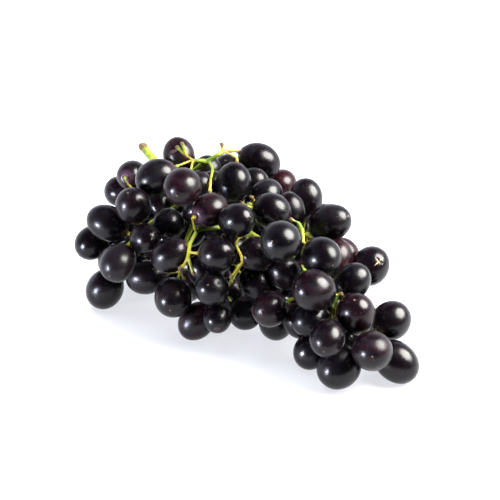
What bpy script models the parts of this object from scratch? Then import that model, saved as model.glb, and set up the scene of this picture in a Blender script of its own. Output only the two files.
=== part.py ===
"""Bunch of black table grapes, lying on its side on a flat surface.

+X runs along the bunch from the stem end to the tip, +Z is up, and the origin is the middle of
the bounding box at the surface that the bunch lies on.  All design values are in millimetres and
are turned into metres when the meshes are made.

Each berry has a seat: the place where it lies in the pile.  The seats are rough, so settle_berries
moves the berries until no two of them meet, none meets the branched stem, and the lowest ones
rest on the surface with a small flat patch.  Each berry points its stalk end at the nearest
branch, and a pedicel runs from that branch, between the other berries, to the stalk end.
"""

import math

import bmesh
import bpy
import numpy as np
from mathutils import Matrix, Vector

MM = 0.001

# Berries
LENGTH_RATIO = 1.16          # mean length of a berry over its width
LENGTH_VARIATION = 0.06      # how far that ratio changes from berry to berry
BERRY_SEGMENTS = 10
BERRY_RINGS = 6
GAP = 0.3                    # clearance between neighbours that touch
REST_SINK = 0.9              # how far a resting berry is pressed flat
JOIN_DEPTH = 1.4             # how far the berries of one joined cluster reach into each other

# Stem
PEDUNCLE_RADIUS = 2.5
RACHIS_TIP_RADIUS = 1.2
LATERAL_RADIUS = 1.3
PEDICEL_RADIUS = 0.75
LONGEST_PEDICEL = 26.0       # a berry farther than this from every branch keeps none
RECEPTACLE_RADIUS = 1.45     # swollen end of a pedicel, where the berry sits
RECEPTACLE_LENGTH = 2.4
STUB_RADIUS = 0.85           # bare pedicels that have lost their berry
STUB_END_RADIUS = 1.35
STEM_CLEARANCE = 0.35        # least distance between a pedicel and a berry that it passes
TUBE_BEVEL_RESOLUTION = 1    # gives six sides
STEM_VOXEL = 0.4             # cell in which the branches grow together
STEM_COARSENING = 0.025      # share of the triangles that the stem keeps after that

# Settling
SETTLE_STEPS = 900
RELEASE_STEP = 650           # from this step on nothing pulls a berry back to its seat
SEAT_PULL = 0.05
FILLER_PULL = 0.006

# Seats of the berries on the outside: along, across and up, then the radius.
OUTER_SEATS = {
    "shoulder_berry": (
        (-69, 18, 75, 9.4),
        (-87, -3, 63, 9.0),
        (-99, -3, 49, 9.0),
        (-56, -13, 76, 10.0),
        (-24, -20, 81, 10.2),
        (-54, -32, 65, 9.8),
        (-73, -36, 50, 10.2),
        (-85, -38, 34, 9.6),
        (-48, -51, 41, 10.0),
        (-69, -43, 10, 10.6),
        (-60, 31, 62, 8.6),
    ),
    "crown_berry": (
        (-41, 57, 66, 10.6),
        (-59, 49, 57, 9.0),
        (-25, 17, 72, 10.0),
        (0, 50, 57, 10.0),
        (8, 12, 68, 9.8),
        (-19, -12, 67, 9.2),
        (2, -12, 70, 9.2),
        (36, -13, 70, 10.8),
        (25, 43, 51, 10.6),
    ),
    "front_berry": (
        (-43, -17, 53, 9.0),
        (-41, -35, 52, 8.6),
        (-23, -35, 50, 9.4),
        (4, -27, 56, 9.2),
        (-48, -32, 23, 9.6),
        (-17, -40, 26, 10.4),
        (5, -33, 38, 9.2),
        (-9, -31, 9, 9.6),
        (9, -33, 21, 7.8),
        (35, -19, 31, 9.6),
    ),
    "tip_berry": (
        (48, 6, 57, 10.4),
        (48, 46, 35, 10.4),
        (59, 19, 40, 9.4),
        (58, -12, 49, 10.8),
        (60, -6, 30, 9.0),
        (73, 3, 35, 10.4),
        (81, 26, 22, 10.4),
        (71, -18, 30, 9.2),
        (93, -7, 25, 10.4),
        (77, -13, 10, 11.0),
        (96, 11, 9, 10.6),
    ),
}

# Berries deep between the others, joined where they press together.
CLUSTER_SEATS = {
    "shoulder_cluster": ((-62, -43, 30, 9.0), (-70, -27, 23, 9.0),
                         (-69, -16, 39, 9.0), (-79, -1, 45, 9.0), (-63, -5, 55, 9.0)),
    "crown_row": ((-30, 38, 62, 9.0), (-12, 30, 64, 9.0), (5, 33, 58, 9.0)),
    "crown_cluster": ((-44, 21, 62, 8.6), (-42, 4, 70, 8.4), (-34, -4, 58, 8.4)),
    "back_cluster": ((-36, 71, 48, 9.2), (-22, 59, 40, 9.2), (-9, 62, 27, 9.2)),
    "back_core": ((-56, 62, 42, 9.2), (-44, 40, 32, 9.2), (-46, 36, 50, 9.2)),
    "upper_cluster": ((16, -9, 52, 9.2), (28, 2, 42, 9.2), (14, -9, 35, 9.0)),
    "middle_cluster": ((-9, -23, 38, 9.0), (-18, -8, 36, 9.0), (-4, -5, 49, 8.8)),
    "low_cluster": ((-8, -6, 17, 9.0), (11, -11, 13, 9.0), (26, -4, 9, 9.2), (27, 10, 22, 9.0)),
    "far_pair": ((5, 62, 41, 9.2), (12, 62, 24, 9.2)),
    "rear_pair": ((29, 52, 33, 9.2), (39, 31, 43, 9.2)),
    "toe_cluster": ((42, -5, 20, 9.0), (55, -12, 8, 9.4), (66, 7, 11, 9.2)),
}

# Rows of berries under and behind the others: the first and last seat, and how many.
FILLER_ROWS = {
    "left_floor_row": ((-76, -14, 8), (-60, 44, 8), 4),
    "middle_floor_row": ((-38, -10, 8), (-30, 52, 8), 4),
    "right_floor_row": ((-6, 8, 8), (6, 56, 8), 3),
    "toe_floor_row": ((34, 22, 8), (74, 32, 8), 3),
    "left_core_row": ((-90, 4, 30), (-76, 52, 34), 3),
    "middle_core_row": ((-58, 14, 32), (-24, 30, 40), 3),
    "right_core_row": ((-16, 40, 26), (24, 30, 27), 3),
}
FILLER_RADIUS = 9.6

# A berry that leans on the first berry of its row.
ROW_HEADS = {
    "left_floor_row": (-87, -20, 22, 9.0),
    "middle_floor_row": (-54, -14, 17, 9.0),
    "toe_floor_row": (45, 18, 19, 9.0),
}

# Branches of the stem, each from its root to its end, in the order that they are grown.
RACHIS = (
    (-86, 5, 80), (-73, 2, 76), (-61, 1, 70), (-48, 6, 60), (-30, 9, 53), (-10, 13, 47),
    (12, 16, 41), (34, 14, 36), (48, 10, 31), (60, 7, 27), (72, 8, 21), (82, 8, 18),
)
LATERALS = {
    "wing_base": ((-50, 5, 62), (-52, 12, 71), (-43, 15, 80)),
    "wing_right": ((-43, 15, 80), (-39, 20, 84), (-38, 25, 85), (-39, 31, 82)),
    "wing_left": ((-43, 15, 80), (-46, 11, 81), (-49, 8, 81)),
    "shoulder_front": ((-61, 1, 70), (-71, -6, 62), (-80, -14, 54), (-82, -20, 45)),
    "shoulder_back": ((-55, 3, 65), (-62, 17, 58), (-62, 32, 51), (-58, 47, 46)),
    "front_high": ((-10, 13, 47), (-14, -4, 56), (-17, -20, 60), (-14, -29, 57), (-11, -34, 52)),
    "front_left": ((-48, 6, 60), (-52, -8, 54), (-56, -20, 49), (-57, -30, 45)),
    "front_bottom": ((-10, 13, 47), (-6, 2, 36), (-3, -10, 28), (-2, -20, 24)),
    "front_low": ((-40, 7, 58), (-38, -4, 47), (-36, -14, 37), (-32, -20, 28)),
    "crown": ((-10, 13, 47), (-9, 15, 56), (-10, 16, 62)),
    "right_arch": ((20, 15, 40), (20, 18, 52), (20, 21, 61), (24, 19, 59), (28, 15, 55)),
    "back_left": ((-32, 8, 54), (-33, 24, 51), (-32, 40, 47), (-30, 50, 44)),
    "back_right": ((6, 15, 43), (8, 26, 44), (6, 40, 41), (2, 50, 36)),
    "tip_back": ((34, 14, 36), (42, 24, 31), (50, 34, 24)),
    "tip_front": ((34, 14, 36), (38, 2, 31), (28, -10, 26)),
    "tip_arch": ((60, 7, 27), (63, -2, 32), (63, -1, 38), (63, 1, 42)),
}
STUBS = {
    "wing_stub_far": ((-48, 9, 81), (-53, 9, 82), (-58, 12, 84), (-62, 14, 86)),
    "wing_stub_near": ((-53, 9, 82), (-59, 11, 82), (-65, 13, 83)),
    "wing_stub_up": ((-38, 23, 84), (-39, 23, 87), (-40, 24, 89)),
    "wing_long_stub": ((-42, 15, 80), (-36, 12, 79), (-31, 5, 76), (-23, -4, 74)),
    "crown_stub_left": ((-10, 16, 62), (-11, 12, 64), (-11, 9, 67)),
    "crown_stub_right": ((-10, 16, 62), (-10, 18, 65), (-10, 15, 69)),
    "front_stub_left": ((-11, -34, 52), (-11, -37, 48), (-12, -40, 46)),
    "front_stub_right": ((-11, -34, 52), (-7, -36, 48), (-5, -36, 44)),
    "torn_stub": ((2, 14, 45), (3, -2, 57), (7, -16, 60), (17, -22, 57), (19, -24, 55), (17, -31, 48)),
    "tip_stub": ((63, 1, 42), (65, 3, 43)),
}

# Berries that turn their stalk end to a point of their own: the berry, then the point.
STALK_AIMS = {
    "shoulder_berry_02": (-83, -11, 66),
    "shoulder_berry_04": (-51, -5, 80),
    "shoulder_berry_05": (-36, -3, 82),
    "crown_berry_01": (-49, 50, 71),
    "crown_berry_02": (-56, 43, 68),
    "crown_berry_03": (-28, 23, 81),
    "crown_berry_06": (-17, -22, 69),
}

GRAPE_COLOUR = (0.012, 0.008, 0.020, 1.0)
STEM_COLOUR = (0.33, 0.42, 0.06, 1.0)


def clear_scene():
    """Remove everything, so that the script builds the same bunch each time."""
    for item in list(bpy.data.objects):
        bpy.data.objects.remove(item, do_unlink=True)
    for group in list(bpy.data.collections):
        bpy.data.collections.remove(group)


def new_collection(name):
    """Return a new collection, linked to the scene."""
    group = bpy.data.collections.new(name)
    bpy.context.scene.collection.children.link(group)
    return group


def material(name, colour, roughness):
    """Return a plain Principled material."""
    result = bpy.data.materials.new(name)
    result.use_nodes = True
    result.diffuse_color = colour
    shader = result.node_tree.nodes["Principled BSDF"]
    shader.inputs["Base Color"].default_value = colour
    shader.inputs["Roughness"].default_value = roughness
    return result


# ---------------------------------------------------------------- stem routes

def resample(points, spacing):
    """Return points at an even spacing along the smooth curve through a route's own points."""
    route = np.array(points, dtype=float)
    padded = np.vstack([2 * route[0] - route[1], route, 2 * route[-1] - route[-2]])
    result = []
    for index in range(1, len(padded) - 2):
        before, start, end, after = padded[index - 1:index + 3]
        count = max(1, round(np.linalg.norm(end - start) / spacing))
        for step in range(count):
            t = step / count
            result.append(0.5 * (2 * start + (end - before) * t
                                 + (2 * before - 5 * start + 4 * end - after) * t ** 2
                                 + (3 * start - before - 3 * end + after) * t ** 3))
    result.append(route[-1])
    return np.array(result)


def rachis_radius(share):
    """Radius of the main stem at a share of its length, thickest where the wing leaves it."""
    swelling = 0.35 * math.exp(-((share - 0.22) / 0.08) ** 2)
    return PEDUNCLE_RADIUS + (RACHIS_TIP_RADIUS - PEDUNCLE_RADIUS) * share ** 1.3 + swelling


def stem_tubes():
    """Return the name, points and radii of the rachis, the laterals and the bare stubs."""
    tubes = []
    points = resample(RACHIS, 9.0)
    radii = [rachis_radius(share) for share in np.linspace(0.0, 1.0, len(points))]
    tubes.append(("rachis", points, radii))
    for name, route in LATERALS.items():
        points = resample(route, 7.0)
        root = 1.5 * LATERAL_RADIUS if name == "wing_base" else 1.15 * LATERAL_RADIUS
        end = 1.35 * LATERAL_RADIUS if name == "wing_base" else 0.85 * LATERAL_RADIUS
        tubes.append((name, points, list(np.linspace(root, end, len(points)))))
    for name, route in STUBS.items():
        points = resample(route, 4.0)
        radii = [STUB_RADIUS] * (len(points) - 1) + [STUB_END_RADIUS]
        tubes.append((name, points, radii))
    return tubes


def stem_samples(tubes):
    """Return closely spaced points on all tubes, their radii, and which can bear a berry."""
    places = []
    radii = []
    bearing = []
    for name, points, tube_radii in tubes:
        for index in range(len(points) - 1):
            for t in np.linspace(0.0, 1.0, 5)[:-1]:
                places.append(points[index] * (1 - t) + points[index + 1] * t)
                radii.append(tube_radii[index] * (1 - t) + tube_radii[index + 1] * t)
                bearing.append(name not in STUBS and not (name == "rachis" and index < 3))
        places.append(points[-1])
        radii.append(tube_radii[-1])
        bearing.append(name not in STUBS)
    return np.array(places), np.array(radii), np.array(bearing)


# ---------------------------------------------------------------- berries

class Pile:
    """All berries of the bunch, as arrays that the settling works on."""

    def __init__(self):
        self.nodes = []
        self.seats = []
        self.radii = []
        self.pulls = []

    def add(self, node, seat, radius, pull):
        """Add one berry with its seat."""
        self.nodes.append(node)
        self.seats.append(seat)
        self.radii.append(radius)
        self.pulls.append(pull)

    def finish(self):
        """Turn the lists into arrays and give every berry its length."""
        count = len(self.nodes)
        self.seats = np.array(self.seats, dtype=float)
        self.centres = self.seats.copy()
        self.radii = np.array(self.radii, dtype=float)
        self.pulls = np.array(self.pulls)
        golden = math.pi * (3 - math.sqrt(5))
        ratio = LENGTH_RATIO + LENGTH_VARIATION * np.sin(golden * np.arange(count))
        self.lengths = self.radii * ratio
        self.axes = np.tile([0.0, 0.0, 1.0], (count, 1))
        self.first, self.second = np.triu_indices(count, 1)
        same = [self.nodes[i] == self.nodes[j] for i, j in zip(self.first, self.second)]
        self.joined = np.array(same)

    def reach(self, berries, directions):
        """Distance from the centre to the tangent plane that faces a direction."""
        along = np.sum(self.axes[berries] * directions, axis=-1)
        flat = self.radii[berries] ** 2 * (1 - along ** 2)
        return np.sqrt(np.maximum(flat, 0.0) + self.lengths[berries] ** 2 * along ** 2)

    def gaps(self, places):
        """Distance from each place to each berry's skin, and the way out from each berry."""
        offset = places[:, None, :] - self.centres[None, :, :]
        distance = np.maximum(np.linalg.norm(offset, axis=2), 1e-6)
        direction = offset / distance[:, :, None]
        return distance - self.reach(slice(None), direction), direction


def fill_pile():
    """Return the pile with all berries on their seats."""
    pile = Pile()
    for region, seats in OUTER_SEATS.items():
        for number, (along, across, up, radius) in enumerate(seats, start=1):
            pile.add(f"{region}_{number:02d}", (along, across, up), radius, SEAT_PULL)
    for name, seats in CLUSTER_SEATS.items():
        for along, across, up, radius in seats:
            pile.add(name, (along, across, up), radius, SEAT_PULL)
    for name, (start, end, count) in FILLER_ROWS.items():
        if name in ROW_HEADS:
            along, across, up, radius = ROW_HEADS[name]
            pile.add(name, (along, across, up), radius, SEAT_PULL)
        for share in np.linspace(0.0, 1.0, count):
            seat = np.array(start) * (1 - share) + np.array(end) * share
            pile.add(name, seat, FILLER_RADIUS, FILLER_PULL)
    pile.finish()
    return pile


def aim_berries(pile, places, bearing):
    """Point each berry's stalk end at the nearest branch that isn't too close to bend to."""
    branches = places[bearing]
    roots = []
    for index, node in enumerate(pile.nodes):
        centre = pile.centres[index]
        aim = np.array(STALK_AIMS.get(node, centre), dtype=float)
        distance = np.linalg.norm(branches - aim, axis=1)
        distance[np.linalg.norm(branches - centre, axis=1) < pile.lengths[index] + 2.0] = np.inf
        roots.append(branches[int(np.argmin(distance))])
        axis = centre - (aim if node in STALK_AIMS else roots[-1])
        pile.axes[index] = axis / np.linalg.norm(axis)
    return roots


def push_pairs(pile):
    """Move apart the berries that meet, and hold the berries of a cluster together."""
    offset = pile.centres[pile.second] - pile.centres[pile.first]
    distance = np.linalg.norm(offset, axis=1)
    direction = offset / distance[:, None]
    touching = pile.reach(pile.first, direction) + pile.reach(pile.second, direction)
    overlap = touching + GAP - distance
    chained = pile.joined & (pile.second - pile.first == 1)
    move = np.where(chained, touching - JOIN_DEPTH - distance, np.maximum(overlap, 0.0))
    share = pile.pulls[pile.first] / (pile.pulls[pile.first] + pile.pulls[pile.second])
    push = direction * move[:, None] * 0.4
    np.add.at(pile.centres, pile.first, -push * (1 - share)[:, None])
    np.add.at(pile.centres, pile.second, push * share[:, None])


def push_from_stem(pile, places, radii):
    """Move the berries off the branches."""
    gap, direction = pile.gaps(places)
    overlap = radii[:, None] + GAP - gap
    berries = np.arange(len(pile.nodes))
    worst = np.argmax(overlap, axis=0)
    push = np.maximum(overlap[worst, berries], 0.0) * 0.6
    pile.centres -= direction[worst, berries] * push[:, None]


def rest_on_floor(pile):
    """Lift the berries that sink deeper into the surface than their flat patch."""
    down = np.tile([0.0, 0.0, -1.0], (len(pile.nodes), 1))
    low = pile.reach(np.arange(len(pile.nodes)), down) - REST_SINK
    pile.centres[:, 2] = np.maximum(pile.centres[:, 2], low)


def settle_berries(pile, tubes):
    """Find the place of every berry in the pile, and return the branch point of each."""
    places, radii, bearing = stem_samples(tubes)
    roots = aim_berries(pile, places, bearing)
    for step in range(SETTLE_STEPS):
        push_pairs(pile)
        push_from_stem(pile, places, radii)
        if step < RELEASE_STEP:
            pile.centres += (pile.seats - pile.centres) * pile.pulls[:, None]
            if step % 50 == 0:
                roots = aim_berries(pile, places, bearing)
        rest_on_floor(pile)
    return roots


# ---------------------------------------------------------------- pedicels

def nearest_skin(pile, places, skip=None):
    """Return how far each place is from the nearest berry's skin, and the way out of it."""
    gap, direction = pile.gaps(places)
    if skip is not None:
        gap[:, skip] = np.inf
    nearest = np.argmin(gap, axis=1)
    rows = np.arange(len(places))
    return gap[rows, nearest], direction[rows, nearest]


def pedicel_route(pile, index, root):
    """Return a route from the branch to the berry's stalk end, or None if none is free."""
    axis = pile.axes[index]
    stalk_end = pile.centres[index] - axis * (pile.lengths[index] + GAP)
    neck = stalk_end - axis * RECEPTACLE_LENGTH
    steps = max(3, round(np.linalg.norm(neck - root) / 3.0))
    share = np.linspace(0.0, 1.0, steps + 1)[:, None]
    route = root * (1 - share) + neck * share
    wanted = PEDICEL_RADIUS + STEM_CLEARANCE
    for _ in range(250):
        route[1:-1] += 0.25 * (route[:-2] + route[2:] - 2 * route[1:-1])
        gap, way = nearest_skin(pile, route)
        push = np.maximum(wanted + 0.1 - gap, 0.0)[:, None] * way
        route[1:-1] += push[1:-1]
    if np.linalg.norm(np.diff(route, axis=0), axis=1).sum() > LONGEST_PEDICEL:
        return None
    gap, _ = nearest_skin(pile, resample(route, 1.0))
    if gap.min() < wanted - 0.2:
        return None
    head = np.array([neck, stalk_end])
    head_gap, _ = nearest_skin(pile, head, index)
    if head_gap.min() < RECEPTACLE_RADIUS + 0.1:
        return None
    return np.vstack([route, stalk_end])


def thin_out(route):
    """Drop the points of a route that lie almost on the line through their neighbours."""
    kept = [route[0]]
    for index in range(1, len(route) - 2):
        before = route[index] - kept[-1]
        after = route[index + 1] - route[index]
        turn = np.dot(before, after) / (np.linalg.norm(before) * np.linalg.norm(after))
        if turn < 0.95 or np.linalg.norm(before) > 10.0:
            kept.append(route[index])
    return np.array(kept + [route[-2], route[-1]])


def pedicel_tubes(pile, roots):
    """Return the tubes of all pedicels that find a free way to their berries."""
    tubes = []
    for index, root in enumerate(roots):
        route = pedicel_route(pile, index, root)
        if route is None:
            continue
        points = thin_out(route)
        radii = [PEDICEL_RADIUS] * (len(points) - 1) + [RECEPTACLE_RADIUS]
        tubes.append((f"pedicel_{index}", points, radii))
    return tubes


# ---------------------------------------------------------------- meshes

def tube_object(name, points, radii, group):
    """Return a closed mesh tube along the points, made from a bevelled curve."""
    curve = bpy.data.curves.new(name, "CURVE")
    curve.dimensions = "3D"
    curve.bevel_depth = MM
    curve.bevel_resolution = TUBE_BEVEL_RESOLUTION
    curve.use_fill_caps = True
    spline = curve.splines.new("POLY")
    spline.points.add(len(points) - 1)
    for point, place, radius in zip(spline.points, points, radii):
        point.co = (*(place * MM), 1.0)
        point.radius = radius
    source = bpy.data.objects.new(name + "_curve", curve)
    group.objects.link(source)
    bpy.context.view_layer.update()
    evaluated = source.evaluated_get(bpy.context.evaluated_depsgraph_get())
    mesh = bpy.data.meshes.new_from_object(evaluated)
    bpy.data.objects.remove(source, do_unlink=True)
    work = bmesh.new()
    work.from_mesh(mesh)
    bmesh.ops.remove_doubles(work, verts=work.verts, dist=1e-6)
    bmesh.ops.recalc_face_normals(work, faces=work.faces)
    work.to_mesh(mesh)
    work.free()
    result = bpy.data.objects.new(name, mesh)
    group.objects.link(result)
    return result


def apply_modifiers(item):
    """Replace an object's mesh by what its modifiers make of it."""
    bpy.context.view_layer.update()
    evaluated = item.evaluated_get(bpy.context.evaluated_depsgraph_get())
    mesh = bpy.data.meshes.new_from_object(evaluated)
    item.modifiers.clear()
    item.data = mesh


def union(target, others):
    """Join the other closed meshes to the target, one after another."""
    for other in others:
        modifier = target.modifiers.new("join_" + other.name, "BOOLEAN")
        modifier.operation = "UNION"
        modifier.solver = "EXACT"
        modifier.object = other
        other.hide_render = True
        other.display_type = "WIRE"
    apply_modifiers(target)
    for other in others:
        bpy.data.objects.remove(other, do_unlink=True)


def finish_part(item, name, surface, group):
    """Name a finished part, give it its material and move it to the bunch's collection."""
    for user in list(item.users_collection):
        user.objects.unlink(item)
    group.objects.link(item)
    item.name = name
    item.data.name = name
    item.data.materials.clear()
    item.data.materials.append(surface)
    item.data.shade_smooth()


def berry_object(pile, index, group):
    """Return one berry: a UV sphere drawn out along its stalk axis, flat where it rests."""
    mesh = bpy.data.meshes.new(f"berry_{index}")
    work = bmesh.new()
    bmesh.ops.create_uvsphere(work, u_segments=BERRY_SEGMENTS, v_segments=BERRY_RINGS, radius=MM)
    radius = pile.radii[index]
    stretch = Matrix.Diagonal((radius, radius, pile.lengths[index], 1.0))
    turn = Vector(pile.axes[index]).to_track_quat("Z", "Y").to_matrix().to_4x4()
    place = Matrix.Translation(Vector(pile.centres[index]) * MM)
    bmesh.ops.transform(work, matrix=place @ turn @ stretch, verts=work.verts)
    if min(vertex.co.z for vertex in work.verts) < 0:
        everything = work.verts[:] + work.edges[:] + work.faces[:]
        cut = bmesh.ops.bisect_plane(work, geom=everything, plane_co=(0, 0, 0),
                                     plane_no=(0, 0, -1), clear_outer=True)
        rim = [edge for edge in cut["geom_cut"] if isinstance(edge, bmesh.types.BMEdge)]
        bmesh.ops.holes_fill(work, edges=rim)
        bmesh.ops.recalc_face_normals(work, faces=work.faces)
    work.to_mesh(mesh)
    work.free()
    result = bpy.data.objects.new(f"berry_{index}", mesh)
    group.objects.link(result)
    return result


def build_berries(pile, bunch, workshop):
    """Make every berry, and join the berries that share a node."""
    skin = material("grape_skin", GRAPE_COLOUR, 0.28)
    members = {}
    for index, node in enumerate(pile.nodes):
        members.setdefault(node, []).append(berry_object(pile, index, workshop))
    for node, berries in members.items():
        if len(berries) > 1:
            union(berries[0], berries[1:])
        finish_part(berries[0], node, skin, bunch)


def build_stem(tubes, bunch, workshop):
    """Make the stem: the rachis, its branches, the pedicels and the stubs as one body."""
    green = material("stem_green", STEM_COLOUR, 0.5)
    work = bmesh.new()
    for name, points, radii in tubes:
        piece = tube_object(name, points, radii, workshop)
        work.from_mesh(piece.data)
        bpy.data.objects.remove(piece, do_unlink=True)
    mesh = bpy.data.meshes.new("stem")
    work.to_mesh(mesh)
    work.free()
    stem = bpy.data.objects.new("stem", mesh)
    workshop.objects.link(stem)
    grown = stem.modifiers.new("grow_together", "REMESH")
    grown.mode = "VOXEL"
    grown.voxel_size = STEM_VOXEL * MM
    coarse = stem.modifiers.new("coarsen", "DECIMATE")
    coarse.ratio = STEM_COARSENING
    apply_modifiers(stem)
    finish_part(stem, "stem", green, bunch)


def centre_bunch(bunch):
    """Move every part so that the origin is the bottom centre of the bounding box."""
    corners = np.array([vertex.co for item in bunch.objects for vertex in item.data.vertices])
    low = corners.min(axis=0)
    high = corners.max(axis=0)
    shift = Vector((-(low[0] + high[0]) / 2, -(low[1] + high[1]) / 2, -low[2]))
    for item in bunch.objects:
        item.data.transform(Matrix.Translation(shift))


def main():
    """Build the whole bunch."""
    clear_scene()
    bunch = new_collection("Grape bunch")
    workshop = new_collection("Cutters")
    pile = fill_pile()
    tubes = stem_tubes()
    roots = settle_berries(pile, tubes)
    build_stem(tubes + pedicel_tubes(pile, roots), bunch, workshop)
    build_berries(pile, bunch, workshop)
    centre_bunch(bunch)


main()
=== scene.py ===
"""A bunch of black table grapes lying on a pale table.

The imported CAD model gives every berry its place, size and direction. This script grows the
fine skin of each berry, the smooth green stem and its torn stalk ends around it, and sets up
a plain pale studio. Units are metres, with +Z up.
"""
import math
from collections import namedtuple

import bmesh
import bpy
import numpy as np
from bpy.props import FloatProperty, FloatVectorProperty, IntProperty, PointerProperty
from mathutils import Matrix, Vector
from mathutils.bvhtree import BVHTree
from mathutils.kdtree import KDTree


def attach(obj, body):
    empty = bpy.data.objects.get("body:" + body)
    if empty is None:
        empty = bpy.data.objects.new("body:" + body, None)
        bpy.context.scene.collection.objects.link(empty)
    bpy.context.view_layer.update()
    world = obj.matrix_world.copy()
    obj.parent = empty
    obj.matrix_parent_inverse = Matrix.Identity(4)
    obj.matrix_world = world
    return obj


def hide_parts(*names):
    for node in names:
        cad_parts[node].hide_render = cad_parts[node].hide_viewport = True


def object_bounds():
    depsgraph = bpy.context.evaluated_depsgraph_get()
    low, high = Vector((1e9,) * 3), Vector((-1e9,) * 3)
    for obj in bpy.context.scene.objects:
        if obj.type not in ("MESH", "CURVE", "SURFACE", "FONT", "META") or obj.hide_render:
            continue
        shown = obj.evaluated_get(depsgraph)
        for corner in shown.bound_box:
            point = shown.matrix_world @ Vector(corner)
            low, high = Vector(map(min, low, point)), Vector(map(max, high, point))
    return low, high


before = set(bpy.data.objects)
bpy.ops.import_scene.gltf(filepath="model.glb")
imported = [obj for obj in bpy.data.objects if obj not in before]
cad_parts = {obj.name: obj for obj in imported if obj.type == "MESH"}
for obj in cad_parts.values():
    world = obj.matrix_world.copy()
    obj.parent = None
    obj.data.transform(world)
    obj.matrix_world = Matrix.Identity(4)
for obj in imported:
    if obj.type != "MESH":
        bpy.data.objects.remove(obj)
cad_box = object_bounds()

bl_info = {
    "name": "Bunch of Grapes",
    "version": (1, 0, 0),
    "blender": (4, 5, 0),
    "location": "3D View > Sidebar > Grapes",
    "description": "Grows the berries, the stem and the studio around a packed bunch of grapes",
    "category": "Object",
}

MM = 0.001
BODY = "root"
STEM_NODE = "stem"
BERRY_NODES = sorted(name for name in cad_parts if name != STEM_NODE)

# How the CAD berries are cut into faces, which is how they are found again
CAD_SIDES = 10
CAD_RINGS = 6
WELD = 1e-6              # joins the loose triangles of a CAD mesh
EVEN = 3e-5              # how regular a ring round a pole is
SAME_BERRY = 1e-3        # two poles whose middles are this near belong to one berry
OUTSIDE = 1.02           # a corner this far out, in berry radii, is on no berry found yet
LEAST_CORNERS = 8        # corners that are enough to fit a berry whose poles are both hidden
WORST_MISS = 2.2e-3      # how far such a fit may pass from a corner

# Berries with a character of their own: how red, how hazy, how purple round the stalk
CHARACTERS = {
    "back_cluster": {"redness": 1.0},
    "rear_pair": {"redness": 0.85},
    "shoulder_berry_01": {"redness": 0.45, "haze": 0.9, "halo": 1.0},
    "shoulder_berry_02": {"redness": 0.15, "halo": 0.9},
    "shoulder_berry_04": {"redness": 0.05, "halo": 0.6},
    "shoulder_berry_05": {"redness": 0.32, "haze": 0.7},
    "crown_berry_06": {"redness": 0.35, "halo": 0.9},
    "front_berry_08": {"redness": 0.3},
    "front_berry_10": {"redness": 0.3},
    "tip_berry_02": {"redness": 0.1, "haze": 0.3},
    "tip_berry_04": {"redness": 0.22, "haze": 0.9},
    "tip_berry_06": {"redness": 0.28},
    "tip_berry_09": {"redness": 0.26, "haze": 0.9},
}
USUAL_REDNESS = (0.0, 0.12)
USUAL_HAZE = (0.35, 0.85)
USUAL_HALO = (0.25, 0.5)
CHARACTER_SEED = 7

Berry = namedtuple("Berry", "centre way radius half_length")
Mark = namedtuple("Mark", "place way side half_length half_width sink colour")

TAN = (0.48, 0.29, 0.15, 1.0)
PITCH = (0.004, 0.002, 0.002, 1.0)
RUST = (0.050, 0.028, 0.024, 1.0)
PINK = (0.052, 0.026, 0.027, 1.0)
# Blemishes of three berries: where each lies on the berry as the camera sees it (right, up,
# back), which way it runs (right, up), its length and width, how deep it is, and its colour
BLEMISHES = {
    "tip_berry_02": (
        ((0.36, 0.25, 0.90), (0.75, 0.66), 6.6 * MM, 0.80 * MM, 0.15 * MM, TAN),
        ((0.40, 0.30, 0.87), (0.72, -0.69), 4.2 * MM, 0.75 * MM, 0.75 * MM, PITCH),
        ((0.28, 0.33, 0.90), (0.30, -0.95), 2.4 * MM, 0.45 * MM, 0.15 * MM, TAN),
    ),
    "shoulder_berry_01": (
        ((-0.28, 0.18, 0.94), (0.90, 0.30), 4.2 * MM, 2.0 * MM, 0.10 * MM, PINK),
        ((-0.05, 0.30, 0.95), (0.60, 0.75), 3.0 * MM, 1.6 * MM, 0.10 * MM, PINK),
    ),
    "front_berry_09": (
        ((-0.02, -0.66, 0.75), (0.90, 0.20), 4.0 * MM, 2.8 * MM, 0.15 * MM, RUST),
    ),
}
FINE_SIDES = 230         # faces round a berry that carries a blemish
FINE_RINGS = 140
PRESS_REACH = 3          # berries farther apart than this, in radii, cannot press each other
BLEMISH_END = 1.6        # no skin falls in farther than this from a mark, in half lengths

# Patterns in the skins and the table, in repeats per metre
CLOUD_SCALE = 95.0
PATCH_SCALE = 210.0
DUST_SCALE = 1500.0
SPECK_SCALE = 620.0
RARE_SCALE = 160.0
GRIT_SCALE = 2600.0
MOTTLE_SCALE = 130.0
GRAIN_SCALE = 900.0
PIT_SCALE = 520.0
AMBER_SCALE = 70.0
TABLE_SCALE = 9.0

# How strongly a tint covers the skin of a berry
WAX_COVER = 0.026
SPECK_COVER = 0.16
CORK_COVER = 0.30
SUNK_COVER = 0.70
SUNK_COLOUR = (0.045, 0.022, 0.018, 1.0)


# ---------------------------------------------------------------- settings

def colour(name, description, default):
    """A colour that a user may change."""
    return FloatVectorProperty(
        name=name, description=description, default=default, size=4, min=0.0, max=1.0, subtype="COLOR"
    )


def length(name, description, default):
    """A length that a user may change."""
    return FloatProperty(
        name=name, description=description, default=default, min=0.0,
        unit="LENGTH", subtype="DISTANCE", precision=5,
    )


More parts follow.
